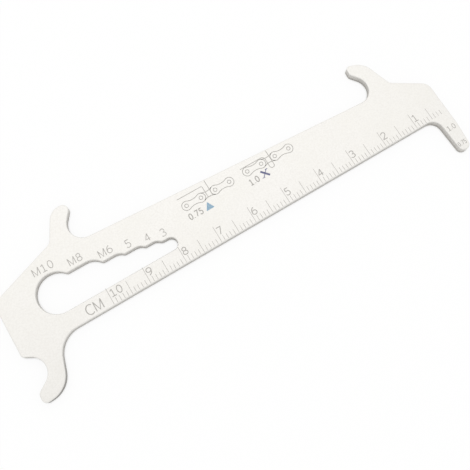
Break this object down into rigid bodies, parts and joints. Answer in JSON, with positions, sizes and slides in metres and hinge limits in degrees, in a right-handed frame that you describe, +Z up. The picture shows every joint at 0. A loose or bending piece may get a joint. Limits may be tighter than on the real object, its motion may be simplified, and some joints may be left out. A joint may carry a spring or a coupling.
{
  "type": "chain wear gauge",
  "caption": "Flat stamped steel gauge for bicycle chain wear, with a roller hook, a leaning probe, a claw and thumb to hold the chain, a stepped bolt slot and a ruler edge.",
  "frame": {"origin": "middle of the plate's outline, on its underside", "axes": "+X along the ruler edge from the hook towards the probe, +Y from the ruler edge towards the claw and thumb, +Z up through the sheet towards the marked face"},
  "size_m": [0.125, 0.0406, 0.0022],
  "materials": {
    "stainless_steel": "tumbled satin",
    "grey_marking_ink": "printed and baked, satin",
    "blue_marking_ink": "printed and baked, satin",
    "navy_marking_ink": "printed and baked, satin"
  },
  "bodies": {
    "root": {"gauge_plate": "stainless_steel"}
  },
  "joints": []
}
